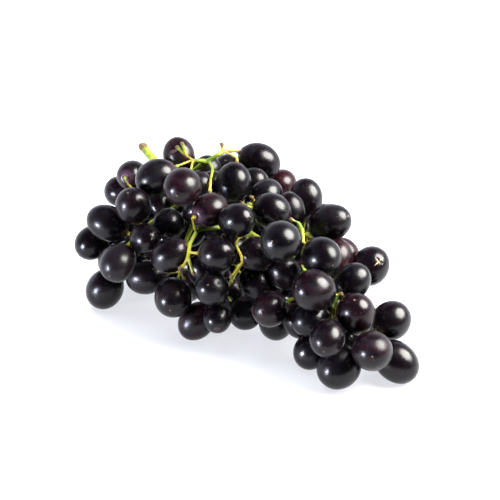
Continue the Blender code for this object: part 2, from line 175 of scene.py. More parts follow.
class BerrySettings(bpy.types.PropertyGroup):
    """Shape and skin of the berries."""

    sides: IntProperty(name="Sides", description="Faces round a berry", default=56, min=12, max=128)
    rings: IntProperty(name="Rings", description="Faces from pole to pole", default=36, min=8, max=96)
    lump_height: length("Lump Height", "How far the skin swells and sinks", 0.00030)
    lump_width: length("Lump Width", "How wide one swelling is", 0.012)
    dimple_depth: FloatProperty(
        name="Dimple Depth", description="Depth round the stalk, in radii", default=0.085
    )
    dimple_width: FloatProperty(
        name="Dimple Width", description="Width round the stalk, in radii", default=0.15
    )
    press_gap: length("Press Gap", "Space left between two berries that press on each other", 0.00004)
    skin: colour("Skin", "Ripe skin", (0.0009, 0.0006, 0.0013, 1.0))
    maroon: colour("Maroon", "Skin that is less ripe", (0.022, 0.0020, 0.0045, 1.0))
    bloom: colour("Bloom", "Waxy haze on the skin", (0.115, 0.116, 0.140, 1.0))
    halo: colour("Halo", "Skin round the stalk", (0.058, 0.026, 0.046, 1.0))
    scar: colour("Scar", "Corky spots and the scar of the blossom", (0.33, 0.19, 0.095, 1.0))


class StemSettings(bpy.types.PropertyGroup):
    """Shape and skin of the stem."""

    grain: length("Grain", "Size of the faces of the stem", 0.00042)
    plumpness: length("Plumpness", "Thickness given back after smoothing", 0.00010)
    # Lime holds the painted sunlight of the stem and green its painted shade, besides the stem's own
    # tones; the skin mixes them in random patches.
    lime: colour("Lime", "Sunlit young stem", (0.19, 0.235, 0.006, 1.0))
    green: colour("Green", "Thick, woody stem", (0.042, 0.090, 0.005, 1.0))
    amber: colour("Amber", "Thin stalks of the berries", (0.30, 0.145, 0.016, 1.0))
    bark: colour("Bark", "Torn and cut ends", (0.070, 0.030, 0.009, 1.0))


class StageSettings(bpy.types.PropertyGroup):
    """Table, light and camera."""

    turn: FloatProperty(
        name="Turn", description="Camera's way round the bunch", default=math.radians(42), subtype="ANGLE"
    )
    climb: FloatProperty(
        name="Climb", description="Camera's height above the table",
        default=math.radians(30), subtype="ANGLE",
    )
    distance: length("Distance", "From the camera to the bunch", 0.65)
    lens: FloatProperty(name="Lens", description="Focal length in millimetres", default=85.1)
    aim: FloatVectorProperty(
        name="Aim", description="From the middle of the bunch to the middle of the view",
        default=(0.0020, -0.0071, -0.0015), unit="LENGTH", subtype="TRANSLATION", precision=4,
    )
    # Painted glow: the table gives light of its own, though no lamp is under it, so that its shadows stay
    # pale.
    painted_glow: colour("Glow", "Light that comes through the table", (0.94, 0.95, 1.0, 1.0))
    table: colour("Table", "The pale table", (0.21, 0.21, 0.215, 1.0))
    backdrop: colour("Backdrop", "Light from all round", (0.86, 0.89, 1.0, 1.0))


# ---------------------------------------------------------------- node trees

class Number:
    """A number socket that can be written into sums."""

    def __init__(self, board, socket):
        self.board = board
        self.socket = socket

    def sum(self, operation, *values):
        """What a math node makes of the values."""
        node = self.board.add("ShaderNodeMath", {"operation": operation}, dict(enumerate(values)))
        return Number(self.board, node.outputs[0])

    def __add__(self, other):
        return self.sum("ADD", self, other)

    def __sub__(self, other):
        return self.sum("SUBTRACT", self, other)

    def __rsub__(self, other):
        return self.sum("SUBTRACT", other, self)

    def __mul__(self, other):
        return self.sum("MULTIPLY", self, other)

    def __truediv__(self, other):
        return self.sum("DIVIDE", self, other)

    def __rtruediv__(self, other):
        return self.sum("DIVIDE", other, self)

    def __neg__(self):
        return self.sum("MULTIPLY", self, -1.0)

    def __pow__(self, other):
        return self.sum("POWER", self, other)

    __radd__ = __add__
    __rmul__ = __mul__

    def least(self, other):
        return self.sum("MINIMUM", self, other)

    def bell(self, width):
        """1 at zero, falling smoothly to nothing over about twice the width."""
        part = self / width
        return self.sum("EXPONENT", -(part * part))


class Board:
    """A node tree that is wired up in plain calls."""

    def __init__(self, tree):
        self.tree = tree

    def add(self, kind, settings=None, sockets=None):
        """A node of a kind, with its settings, and with a value or a link on its sockets."""
        node = self.tree.nodes.new(kind)
        for name, value in (settings or {}).items():
            setattr(node, name, value)
        for key, value in (sockets or {}).items():
            socket = node.inputs[key]
            value = getattr(value, "socket", value)
            if isinstance(value, bpy.types.NodeSocket):
                self.tree.links.new(value, socket)
            else:
                socket.default_value = value
        return node

    def number(self, node, output=0):
        return Number(self, node.outputs[output])

    def ramp(self, value, low, high):
        """0 below low and 1 above high, with a soft step between, or the reverse."""
        settings = {"interpolation_type": "SMOOTHSTEP", "clamp": True}
        sockets = {"Value": value, "From Min": low, "From Max": high}
        return self.number(self.add("ShaderNodeMapRange", settings, sockets))

    def blend(self, factor, first, second):
        """Two colours, mixed."""
        node = self.add("ShaderNodeMix", {"data_type": "RGBA"}, {0: factor, 6: first, 7: second})
        return node.outputs[2]

    def noise(self, where, scale, detail=2.0, roughness=0.5, warp=0.0):
        """Soft clouds between 0 and 1, with so many repeats per metre."""
        sockets = {
            "Vector": where, "Scale": scale, "Detail": detail, "Roughness": roughness, "Distortion": warp
        }
        return self.number(self.add("ShaderNodeTexNoise", None, sockets))

    def spots(self, where, scale):
        """Distance from the nearest of many scattered points."""
        node = self.add("ShaderNodeTexVoronoi", None, {"Vector": where, "Scale": scale})
        return self.number(node, "Distance")

    def parts(self, vector):
        """The three numbers of a vector."""
        node = self.add("ShaderNodeSeparateXYZ", None, {0: vector})
        return [self.number(node, index) for index in range(3)]

    def vector(self, *values):
        """Three numbers as one vector."""
        return self.add("ShaderNodeCombineXYZ", None, dict(enumerate(values))).outputs[0]

    def attribute(self, name, output="Fac"):
        """A number or a vector that the mesh carries."""
        node = self.add("ShaderNodeAttribute", {"attribute_name": name, "attribute_type": "GEOMETRY"})
        return self.number(node, output) if output == "Fac" else node.outputs[output]


def new_material(name):
    """A material with an empty Principled surface, and the board it is wired on."""
    material = bpy.data.materials.new(name)
    material.use_nodes = True
    board = Board(material.node_tree)
    shader = material.node_tree.nodes["Principled BSDF"]
    return material, board, shader


def wire(board, shader, links, fixed=None):
    """Links what varies over the surface, and sets what doesn't on the shader's own sockets."""
    for name, value in links.items():
        board.tree.links.new(getattr(value, "socket", value), shader.inputs[name])
    for name, value in (fixed or {}).items():
        shader.inputs[name].default_value = value


def object_place(board):
    """Where a point of the skin lies on its piece, in metres."""
    return board.add("ShaderNodeTexCoord").outputs["Object"]


def bumps(board, height, distance, strength):
    """A normal that makes the skin look as rough as the height says."""
    sockets = {"Height": height, "Distance": distance, "Strength": strength}
    return board.add("ShaderNodeBump", None, sockets).outputs["Normal"]


# ---------------------------------------------------------------- skins

def berry_skin(settings, name="grape_skin_fine", marks=()):
    """Black skin under patchy bloom, with a purple halo, corky spots and a blossom scar."""
    material, board, shader = new_material(name)
    place = object_place(board)
    spot_x, spot_y, along = board.parts(board.attribute("spot", "Vector"))
    off_axis = (spot_x * spot_x + spot_y * spot_y) ** 0.5
    redness = board.attribute("redness")
    haze = board.attribute("haze")
    halo = board.attribute("halo")

    clouds = board.noise(place, CLOUD_SCALE, 3.0, 0.55, 0.6)
    patches = board.noise(place, PATCH_SCALE, 4.0, 0.6, 0.3)
    dust = board.noise(place, DUST_SCALE, 3.0, 0.65)
    speckle = board.spots(place, SPECK_SCALE)
    rare = board.noise(place, RARE_SCALE, 1.0)

    ripening = (redness * (clouds * 1.5 + 0.15) * board.ramp(patches, 0.25, 0.75)).least(1.0)
    skin = board.blend(ripening, settings.skin, settings.maroon)

    wax = haze * board.ramp(clouds, 0.36, 0.66) * (dust * 0.7 + 0.55)
    rubbed = board.ramp(patches, 0.56, 0.66)
    wax = (wax * (1.0 - rubbed * 0.7)).least(1.0)
    skin = board.blend(wax * WAX_COVER, skin, settings.bloom)

    ring = board.ramp(off_axis, 0.66, 0.22) * board.ramp(along, 0.0, 0.3)
    ring = ring * halo * (patches * 1.1 + 0.25)
    skin = board.blend(ring.least(1.0), skin, settings.halo)

    dots = board.ramp(speckle, 0.16, 0.08) * board.ramp(rare, 0.52, 0.60)
    skin = board.blend(dots * SPECK_COVER, skin, settings.scar)
    cork = board.ramp(off_axis, 0.060, 0.028) * board.ramp(along, 0.0, -0.3)
    skin = board.blend(cork * CORK_COVER, skin, settings.scar)
    sunk = board.ramp(off_axis, 0.24, 0.14) * board.ramp(along, 0.0, 0.3)
    skin = board.blend(sunk * SUNK_COVER, skin, SUNK_COLOUR)

    gloss = 0.17 + wax * 0.17 + patches * 0.06 + dust * 0.05 + rubbed * 0.03
    gloss = gloss + cork * 0.3 + sunk * 0.2
    height = dust * 0.25 + patches * 0.8 - dots * 0.5 + cork * 1.2
    for mark in marks:
        mask = mark_mask(board, place, mark)
        skin = board.blend(mask, skin, mark.colour)
        gloss = gloss + mask * 0.35
        height = height + mask * (grit(board, place) * 2.0 - 1.0)
    links = {"Base Color": skin, "Roughness": gloss, "Normal": bumps(board, height, 0.00014, 0.65)}
    fixed = {
        "IOR": 1.45,
        "Specular IOR Level": 0.30,
        "Sheen Weight": 0.05,
        "Sheen Roughness": 0.12,
        "Sheen Tint": (0.82, 0.84, 1.0, 1.0),
    }
    wire(board, shader, links, fixed)
    return material


def grit(board, place):
    """The fine grain that makes a mark's edge ragged."""
    return board.noise(place, GRIT_SCALE, 3.0, 0.7)


def mark_mask(board, place, mark):
    """1 on a split or a scab, and 0 off it, with a ragged edge."""
    less = board.add("ShaderNodeVectorMath", {"operation": "SUBTRACT"}, {0: place, 1: mark.place})
    offset = less.outputs[0]
    shares = []
    for way, half in ((mark.way, mark.half_length), (mark.side, mark.half_width)):
        dot = board.add("ShaderNodeVectorMath", {"operation": "DOT_PRODUCT"}, {0: offset, 1: way})
        shares.append(board.number(dot, "Value") / half)
    along, across = shares
    reach = (along * along + across * across) ** 0.5 + (grit(board, place) - 0.5) * 0.5
    depth = board.add("ShaderNodeVectorMath", {"operation": "LENGTH"}, {0: offset})
    far, close = mark.half_length * 1.7, mark.half_length * 1.3
    near = board.ramp(board.number(depth, "Value"), far, close)
    return board.ramp(reach, 1.25, 0.65) * near * board.ramp(grit(board, place), 0.30, 0.55)


def stem_skin(settings):
    """Lime green stem in random patches of painted sunlight and painted shade, that turns amber where it
    is thin and brown at its ends.
    """
    material, board, shader = new_material("stem_green_fine")
    place = object_place(board)
    girth = board.attribute("girth")
    tip = board.attribute("tip")
    mottle = board.noise(place, MOTTLE_SCALE, 3.0, 0.6, 0.4)
    grain = board.noise(place, GRAIN_SCALE, 4.0, 0.6)
    pits = board.spots(place, PIT_SCALE)

    # Random patches between sunlit lime and shaded green: the stem's own mottle with painted sunlight and
    # shade.
    painted_sun_and_shade = board.ramp(mottle, 0.40, 0.62)
    colour_now = board.blend(painted_sun_and_shade * 0.85, settings.lime, settings.green)
    streaks = board.ramp(board.noise(place, AMBER_SCALE, 2.0), 0.38, 0.58)
    thin = board.ramp(girth, 2.4 * MM, 1.6 * MM) * streaks
    colour_now = board.blend(thin * 0.5, colour_now, settings.amber)
    lenticels = board.ramp(pits, 0.17, 0.09) * board.ramp(grain, 0.45, 0.6)
    colour_now = board.blend(lenticels * 0.6, colour_now, settings.amber)
    ends = (board.ramp(tip, 0.10, 0.55) * (grain * 0.9 + 0.6)).least(1.0)
    colour_now = board.blend(ends * 0.9, colour_now, settings.bark)

    gloss = 0.42 + grain * 0.16 + ends * 0.25
    height = grain * 0.5 + mottle * 0.5 - lenticels * 0.6 + ends * grain * 1.5
    links = {"Base Color": colour_now, "Roughness": gloss, "Normal": bumps(board, height, 0.00016, 0.6)}
    fixed = {
        "Subsurface Weight": 0.12,
        "Subsurface Radius": (0.4, 0.5, 0.1),
        "Subsurface Scale": 1.2 * MM,
    }
    wire(board, shader, links, fixed)
    return material


def table_skin(settings):
    """Smooth pale board with the faintest unevenness, and a painted glow that lightens the shadows on it.
    """
    material, board, shader = new_material("pale_table")
    place = object_place(board)
    mottle = board.noise(place, TABLE_SCALE, 3.0, 0.5)
    darker = tuple(value * 0.985 for value in settings.table[:3]) + (1.0,)
    pale = board.blend(mottle, settings.table, darker)
    # The emission is a painted glow that lightens the shadows on the table.
    fixed = {"Specular IOR Level": 0.1, "Emission Color": settings.painted_glow, "Emission Strength": TABLE_PAINTED_GLOW}
    wire(board, shader, {"Base Color": pale, "Roughness": 0.5 + mottle * 0.08}, fixed)
    return material


# ---------------------------------------------------------------- reading the CAD

def merged_copy(node):
    """A bmesh of a CAD node whose loose triangles are joined."""
    mesh = bmesh.new()
    mesh.from_mesh(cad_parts[node].data)
    bmesh.ops.remove_doubles(mesh, verts=mesh.verts, dist=WELD)
    mesh.normal_update()
    return mesh


def berry_at_pole(pole):
    """The berry that has this corner as a pole, or None."""
    if len(pole.link_edges) != CAD_SIDES:
        return None
    top = np.array(pole.co)
    ring = np.array([edge.other_vert(pole).co for edge in pole.link_edges])
    middle = ring.mean(0)
    drop = np.linalg.norm(middle - top)
    if drop < WELD:
        return None
    inward = (middle - top) / drop
    reach = np.linalg.norm(ring - middle, axis=1)
    if reach.std() > EVEN or np.abs((ring - middle) @ inward).max() > EVEN:
        return None
    step = math.pi / CAD_RINGS
    half_length = drop / (1 - math.cos(step))
    return Berry(top + inward * half_length, -inward, reach.mean() / math.sin(step), half_length)


def how_far_out(points, berry):
    """Distance from a berry's middle, in berry radii, so that its skin is at 1."""
    offset = points - berry.centre
    along = offset @ berry.way
    across = np.linalg.norm(offset - np.outer(along, berry.way), axis=1)
    return np.hypot(along / berry.half_length, across / berry.radius)


def fitted_berries(points):
    """Round berries through some points: one, or more where one doesn't pass near them all."""
    rows = np.c_[2 * points, np.ones(len(points))]
    solution = np.linalg.lstsq(rows, (points ** 2).sum(1), rcond=None)[0]
    centre = solution[:3]
    radius = math.sqrt(solution[3] + centre @ centre)
    miss = np.abs(np.linalg.norm(points - centre, axis=1) - radius).max()
    if miss < WORST_MISS or len(points) < 2 * LEAST_CORNERS:
        return [Berry(centre, np.array((0.0, 0.0, 1.0)), radius, radius)]
    spread = points - points.mean(0)
    side = spread @ np.linalg.eigh(spread.T @ spread)[1][:, 2] > 0
    return fitted_berries(points[side]) + fitted_berries(points[~side])


def stalk_up(berry, stem_surface):
    """The same berry with its direction towards the pole that is nearer to the stem."""
    near = stem_surface.find_nearest(Vector(berry.centre + berry.way * berry.half_length))[3]
    far = stem_surface.find_nearest(Vector(berry.centre - berry.way * berry.half_length))[3]
    return berry if near <= far else berry._replace(way=-berry.way)


def read_berries(node, stem_surface):
    """Every berry of a CAD node."""
    mesh = merged_copy(node)
    found = []
    for pole in mesh.verts:
        berry = berry_at_pole(pole)
        if berry and all(math.dist(berry.centre, other.centre) > SAME_BERRY for other in found):
            found.append(berry)
    corners = np.array([corner.co for corner in mesh.verts])
    mesh.free()
    loose = np.ones(len(corners), bool)
    for berry in found:
        loose &= how_far_out(corners, berry) > OUTSIDE
    if loose.sum() >= LEAST_CORNERS:
        found += fitted_berries(corners[loose])
    return [stalk_up(berry, stem_surface) for berry in found]


def read_bunch():
    """All berries by node, and the stem's surface."""
    stem = merged_copy(STEM_NODE)
    surface = BVHTree.FromBMesh(stem)
    stem.free()
    return {node: read_berries(node, surface) for node in BERRY_NODES}, surface


# ---------------------------------------------------------------- making pieces

def new_object(name, mesh, material=None):
    """A mesh object in the scene."""
    made = bpy.data.objects.new(name, mesh)
    bpy.context.scene.collection.objects.link(made)
    if material:
        mesh.materials.append(material)
    return made


def settled(piece):
    """Turns the evaluated shape of an object into its plain mesh, and drops its modifiers."""
    graph = bpy.context.evaluated_depsgraph_get()
    mesh = bpy.data.meshes.new_from_object(piece.evaluated_get(graph), depsgraph=graph)
    old = piece.data
    piece.modifiers.clear()
    piece.data = mesh
    mesh.name = piece.name
    bpy.data.meshes.remove(old)


def corners_of(mesh):
    """The corners of a mesh, one row each."""
    corners = np.empty(len(mesh.vertices) * 3, np.float32)
    mesh.vertices.foreach_get("co", corners)
    return corners.reshape(-1, 3).astype(float)


def move_corners(mesh, corners):
    """Gives the corners of a mesh new places."""
    mesh.vertices.foreach_set("co", corners.astype(np.float32).ravel())
    mesh.update()


def add_attribute(mesh, name, kind, values):
    """A named value on each corner of a mesh."""
    layer = mesh.attributes.new(name, kind, "POINT")
    field = "vector" if kind == "FLOAT_VECTOR" else "value"
    layer.data.foreach_set(field, np.asarray(values, np.float32).ravel())


def berry_tree(settings, material):
    """Geometry Nodes that grow one berry on each point of a mesh."""
    tree = bpy.data.node_groups.new("grow_berries", "GeometryNodeTree")
    face = tree.interface
    face.new_socket("Geometry", in_out="OUTPUT", socket_type="NodeSocketGeometry")
    face.new_socket("Geometry", in_out="INPUT", socket_type="NodeSocketGeometry")
    inputs = {}
    for name, kind, value in (
        ("Sides", "NodeSocketInt", settings.sides),
        ("Rings", "NodeSocketInt", settings.rings),
        ("Lump Height", "NodeSocketFloat", settings.lump_height),
        ("Lump Width", "NodeSocketFloat", settings.lump_width),
        ("Dimple Depth", "NodeSocketFloat", settings.dimple_depth),
        ("Dimple Width", "NodeSocketFloat", settings.dimple_width),
        ("Skin", "NodeSocketMaterial", material),
    ):
        socket = face.new_socket(name, in_out="INPUT", socket_type=kind)
        inputs[name] = (socket.identifier, value)
    board = Board(tree)
    entry = board.add("NodeGroupInput").outputs
    dimple_width = Number(board, entry["Dimple Width"])
    dimple_depth = Number(board, entry["Dimple Depth"])

    sockets = {"Segments": entry["Sides"], "Rings": entry["Rings"]}
    ball = board.add("GeometryNodeMeshUVSphere", None, sockets)
    place = board.add("GeometryNodeInputPosition").outputs[0]
    marked = board.add(
        "GeometryNodeStoreNamedAttribute", {"data_type": "FLOAT_VECTOR", "domain": "POINT"},
        {"Geometry": ball.outputs["Mesh"], "Name": "spot", "Value": place},
    )
    ball_x, ball_y, ball_z = board.parts(place)
    off_axis = (ball_x * ball_x + ball_y * ball_y) ** 0.5
    upper = board.ramp(ball_z, 0.0, 0.3)
    lower = board.ramp(ball_z, 0.0, -0.3)
    hollow = dimple_depth * off_axis.bell(dimple_width)
    lip = dimple_depth * 0.35 * (off_axis - dimple_width * 2.0).bell(dimple_width)
    nib = 0.012 * off_axis.bell(0.06) - 0.014 * (off_axis - 0.13).bell(0.06)
    lift = (lip - hollow) * upper - nib * lower
    sockets = {"Geometry": marked.outputs[0], "Offset": board.vector(0.0, 0.0, lift)}
    shaped = board.add("GeometryNodeSetPosition", None, sockets)

    def carried(name, kind="FLOAT"):
        node = board.add("GeometryNodeInputNamedAttribute", {"data_type": kind}, {"Name": name})
        return node.outputs["Attribute"]

    way = carried("stalk_way", "FLOAT_VECTOR")
    turned = board.add("FunctionNodeAlignRotationToVector", {"axis": "Z"}, {"Vector": way})
    size = board.vector(carried("radius"), carried("radius"), carried("half_length"))
    sockets = {
        "Points": entry["Geometry"],
        "Instance": shaped.outputs[0],
        "Rotation": turned.outputs[0],
        "Scale": size,
    }
    grown = board.add("GeometryNodeInstanceOnPoints", None, sockets)
    real = board.add("GeometryNodeRealizeInstances", None, {0: grown.outputs[0]})

    lump_width = Number(board, entry["Lump Width"])
    lumps = board.noise(place, 1.0 / lump_width, 1.0, 0.4) - 0.5
    normal = board.add("GeometryNodeInputNormal").outputs[0]
    swell = board.add(
        "ShaderNodeVectorMath", {"operation": "SCALE"},
        {0: normal, "Scale": lumps * 2.0 * Number(board, entry["Lump Height"])},
    )
    sockets = {"Geometry": real.outputs[0], "Offset": swell.outputs[0]}
    lumpy = board.add("GeometryNodeSetPosition", None, sockets)
    smooth = board.add("GeometryNodeSetShadeSmooth", None, {"Geometry": lumpy.outputs[0]})
    sockets = {"Geometry": smooth.outputs[0], "Material": entry["Skin"]}
    dressed = board.add("GeometryNodeSetMaterial", None, sockets)
    board.add("NodeGroupOutput", None, {0: dressed.outputs[0]})
    return tree, inputs


def press_flat(mesh, berries, settings):
    """Flattens berries of one piece where they press on each other, and on the table."""
    corners = corners_of(mesh).reshape(len(berries), -1, 3)
    for first, berry in enumerate(berries):
        for second, other in enumerate(berries):
            between = other.centre - berry.centre
            apart = np.linalg.norm(between)
            if first == second or apart > PRESS_REACH * berry.radius:
                continue
            way = between / apart
            own_reach = skin_reach(berry, way)
            limit = (own_reach + apart - skin_reach(other, way)) / 2 - settings.press_gap
            if own_reach < limit:
                continue
            past = (corners[first] - berry.centre) @ way - limit
            corners[first] -= np.outer(np.maximum(past, 0.0), way)
    corners = corners.reshape(-1, 3)
    corners[:, 2] = np.maximum(corners[:, 2], cad_box[0].z)
    move_corners(mesh, corners)


def skin_reach(berry, way):
    """Distance from a berry's middle to its skin in one direction."""
    along = way @ berry.way
    across = math.sqrt(max(0.0, 1 - along * along))
    return 1 / math.hypot(along / berry.half_length, across / berry.radius)


def blemishes(node, berry, view):
    """The marks of a berry, in the bunch's own frame."""
    found = []
    for spot, run, length_of, width, sink, tint in BLEMISHES[node]:
        out = np.array(view.direction(*spot))
        place = berry.centre + out * skin_reach(berry, out)
        way = np.array(view.right * run[0] + view.up * run[1])
        way -= out * (way @ out)
        way /= np.linalg.norm(way)
        side = np.cross(out, way)
        found.append(Mark(tuple(place), tuple(way), tuple(side), length_of / 2, width / 2, sink, tint))
    return found


def sink_marks(mesh, berry, marks):
    """Lets the skin fall in along each mark."""
    corners = corners_of(mesh)
    inward = berry.centre - corners
    inward /= np.linalg.norm(inward, axis=1)[:, None]
    for mark in marks:
        offset = corners - mark.place
        along = offset @ mark.way / mark.half_length
        across = offset @ mark.side / mark.half_width
        near = np.linalg.norm(offset, axis=1) < mark.half_length * BLEMISH_END
        share = np.exp(-(along ** 4 + across ** 2)) * near
        corners += inward * (share * mark.sink)[:, None]
    move_corners(mesh, corners)


def berry_points(node, berries, chance):
    """A mesh with one point for each berry, which carries the berry's size and character."""
    mesh = bpy.data.meshes.new(node)
    mesh.from_pydata([tuple(berry.centre) for berry in berries], [], [])
    character = CHARACTERS.get(node, {})
    count = len(berries)
    add_attribute(mesh, "radius", "FLOAT", [berry.radius for berry in berries])
    add_attribute(mesh, "half_length", "FLOAT", [berry.half_length for berry in berries])
    add_attribute(mesh, "stalk_way", "FLOAT_VECTOR", [berry.way for berry in berries])
    for name, usual in (("redness", USUAL_REDNESS), ("haze", USUAL_HAZE), ("halo", USUAL_HALO)):
        drawn = chance.uniform(*usual, count)
        values = np.full(count, character[name]) if name in character else drawn
        add_attribute(mesh, name, "FLOAT", values)
    return mesh


# ---------------------------------------------------------------- operators for the pieces

class GRAPES_OT_berries(bpy.types.Operator):
    """Grow the fine skin of every berry"""

    bl_idname = "grapes.berries"
    bl_label = "Berries"
    bl_options = {"REGISTER", "UNDO"}

    def execute(self, context):
        settings = context.scene.grape_berries
        bunch, _ = read_bunch()
        material = berry_skin(settings)
        tree, inputs = berry_tree(settings, material)
        chance = np.random.default_rng(CHARACTER_SEED)
        view = View(context.scene.grape_stage)
        for node, berries in bunch.items():
            piece = new_object("fine_" + node, berry_points(node, berries, chance))
            growth = piece.modifiers.new("growth", "NODES")
            growth.node_group = tree
            marks = blemishes(node, berries[0], view) if node in BLEMISHES else ()
            own = dict(inputs)
            if marks:
                marked_skin = berry_skin(settings, "skin_of_" + node, marks)
                for name, value in (("Skin", marked_skin), ("Sides", FINE_SIDES), ("Rings", FINE_RINGS)):
                    own[name] = (own[name][0], value)
            for identifier, value in own.values():
                growth[identifier] = value
            settled(piece)
            press_flat(piece.data, berries, settings)
            if marks:
                sink_marks(piece.data, berries[0], marks)
            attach(piece, BODY)
            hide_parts(node)
        return {"FINISHED"}


class GRAPES_OT_stem(bpy.types.Operator):
    """Smooth the stem and its stalks, and colour them by thickness"""

    bl_idname = "grapes.stem"
    bl_label = "Stem"
    bl_options = {"REGISTER", "UNDO"}

    def execute(self, context):
        settings = context.scene.grape_stem
        bunch, surface = read_bunch()
        rough = merged_copy(STEM_NODE)
        ends = add_torn_ends(rough) + add_pads(rough, bunch, surface)
        mesh = bpy.data.meshes.new("fine_stem")
        rough.to_mesh(mesh)
        rough.free()
        piece = new_object("fine_stem", mesh, stem_skin(settings))
        remesh = piece.modifiers.new("one_skin", "REMESH")
        remesh.mode = "VOXEL"
        remesh.voxel_size = settings.grain
        remesh.use_smooth_shade = True
        smooth = piece.modifiers.new("soften", "SMOOTH")
        smooth.factor = 0.5
        smooth.iterations = 3
        plump = piece.modifiers.new("plump", "DISPLACE")
        plump.strength = settings.plumpness
        plump.mid_level = 0.0
        settled(piece)
        mark_stem(piece.data, ends)
        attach(piece, BODY)
        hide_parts(STEM_NODE)
        return {"FINISHED"}


PAD_RADIUS = 1.35 * MM
PAD_THICKNESS = 0.75 * MM
PAD_SINK = 0.15 * MM      # how far a pad's middle lies under the berry's pole
STALK_REACH = 1.3 * MM    # a stalk that ends this near to a pole carries the berry
PAD_BROWN = 0.75          # how brown a pad is, where a torn end is 1
PAD_SIDES = 14
PAD_RINGS = 8


def add_pads(rough, bunch, surface):
    """The small cushion at the end of each stalk, which sits in the berry's dimple."""
    ends = []
    for berries in bunch.values():
        for berry in berries:
            pole = Vector(berry.centre + berry.way * (berry.half_length - PAD_SINK))
            if surface.find_nearest(pole)[3] > STALK_REACH:
                continue
            turn = Vector(berry.way).to_track_quat("Z", "Y").to_matrix().to_4x4()
            turn.translation = pole
            pad = bmesh.ops.create_uvsphere(
                rough, u_segments=PAD_SIDES, v_segments=PAD_RINGS, radius=1.0
            )
            squash = Vector((PAD_RADIUS, PAD_RADIUS, PAD_THICKNESS))
            bmesh.ops.scale(rough, vec=squash, verts=pad["verts"])
            bmesh.ops.transform(rough, matrix=turn, verts=pad["verts"])
            ends.append((np.array(pole), PAD_RADIUS, PAD_BROWN))
    return ends


# Stalks that have lost their berry, and the cut end of the stem: where each one ends, in
# millimetres from the foot of the bunch's middle, and how thick it is there. It repeats where
# the stem of the CAD ends, and a change of the one needs the same change here.
BARE_ENDS = {
    "cut_end": (-86, -3, 80, 2.5),
    "wing_far": (-62, 6, 86, 1.3),
    "wing_near": (-65, 5, 83, 1.3),
    "wing_top": (-40, 16, 89, 1.3),
    "wing_long": (-23, -12, 74, 1.2),
    "crown_left": (-11, 1, 67, 1.3),
    "crown_right": (-10, 7, 69, 1.3),
    "front_left": (-12, -48, 46, 1.2),
    "front_right": (-5, -44, 44, 1.2),
    "torn": (17, -39, 48, 1.2),
    "tip": (65, -5, 43, 1.3),
}
TUFT_LENGTH = 1.1         # length of the torn fibres, in radii of the end
TUFT_COUNT = 9
TUFT_SEED = 11
FIBRE_SIDES = 8
FIBRE_FOOT = 0.40         # radius of a fibre's foot and of its tip, in radii of the end
FIBRE_TIP = 0.16
END_REACH = 1.6           # how far from an end its corners are averaged, in radii
ROOT_REACH = 5            # the same for the stretch that gives its direction
BROWN_REACH = 1.7         # how far brown spreads from an end, in radii


def add_torn_ends(rough):
    """Short torn fibres that stand round each bare end."""
    corners = np.array([corner.co for corner in rough.verts])
    chance = np.random.default_rng(TUFT_SEED)
    ends = []
    for along, across, up, thickness in BARE_ENDS.values():
        radius = thickness * MM
        wanted = np.array((along, across, up)) * MM
        off = np.linalg.norm(corners - wanted, axis=1)
        end = corners[off < off.min() + END_REACH * radius].mean(0)
        root = corners[off < off.min() + ROOT_REACH * radius].mean(0)
        way = (end - root) / np.linalg.norm(end - root)
        side = np.cross(way, (0.3, 0.5, 0.81))
        side /= np.linalg.norm(side)
        other = np.cross(way, side)
        for number in range(TUFT_COUNT):
            angle = 2 * math.pi * number / TUFT_COUNT + chance.uniform(-0.3, 0.3)
            out = side * math.cos(angle) + other * math.sin(angle)
            share = 0.0 if number == 0 else chance.uniform(0.45, 0.85)
            lean = way + out * chance.uniform(0.0, 0.7) * share
            height = radius * TUFT_LENGTH * chance.uniform(0.6, 1.2)
            fibre = bmesh.ops.create_cone(
                rough, segments=FIBRE_SIDES, cap_ends=True,
                radius1=radius * FIBRE_FOOT, radius2=radius * FIBRE_TIP, depth=height,
            )
            place = Vector(lean).to_track_quat("Z", "Y").to_matrix().to_4x4()
            place.translation = Vector(end + out * radius * share + way * radius * 0.25)
            bmesh.ops.transform(rough, matrix=place, verts=fibre["verts"])
        ends.append((end + way * radius, radius * BROWN_REACH, 1.0))
    return ends


GIRTH_REACH = 8 * MM      # how far a ray through the stem looks for its other side
THICKEST = 5 * MM
EVERY = 6                 # one corner in so many is measured
NEIGHBOURS = 5            # each corner takes the mean of this many measured ones
RAY_START = 0.1 * MM      # how far under the skin a ray begins
FADE_START = 1.7          # brown is full up to 0.7 of an end's reach and gone at this many


def mark_stem(mesh, ends):
    """Stores how thick the stem is and how near to an end, on every corner."""
    count = len(mesh.vertices)
    places = corners_of(mesh)
    normals = np.empty(count * 3, np.float32)
    mesh.vertex_normals.foreach_get("vector", normals)
    normals = normals.reshape(-1, 3).astype(float)
    skin = bmesh.new()
    skin.from_mesh(mesh)
    surface = BVHTree.FromBMesh(skin)
    skin.free()

    measured = KDTree(len(range(0, count, EVERY)))
    girths = []
    for order, index in enumerate(range(0, count, EVERY)):
        inward = Vector(-normals[index])
        hit = surface.ray_cast(Vector(places[index]) + inward * RAY_START, inward, GIRTH_REACH)
        girths.append(min(hit[3] or THICKEST, THICKEST))
        measured.insert(places[index], order)
    measured.balance()
    girths = np.array(girths)
    girth = np.empty(count)
    tip = np.zeros(count)
    for index in range(count):
        nearest = [found[1] for found in measured.find_n(places[index], NEIGHBOURS)]
        girth[index] = girths[nearest].mean()
    for end, reach, strength in ends:
        distance = np.linalg.norm(places - end, axis=1)
        tip = np.maximum(tip, strength * np.clip(FADE_START - distance / reach, 0.0, 1.0))
    add_attribute(mesh, "girth", "FLOAT", girth)
    add_attribute(mesh, "tip", "FLOAT", tip)


# ---------------------------------------------------------------- the stage

TABLE_REACH = 6.0         # half the table's width in metres
# The table's painted glow, which keeps its shadows pale.
TABLE_PAINTED_GLOW = 0.72         # how much light the table gives by itself
LIGHT_DISTANCE = 0.85     # from the middle of the bunch to each light, in metres
NEAREST_VIEW = 0.01       # nothing nearer to the camera is seen, in metres
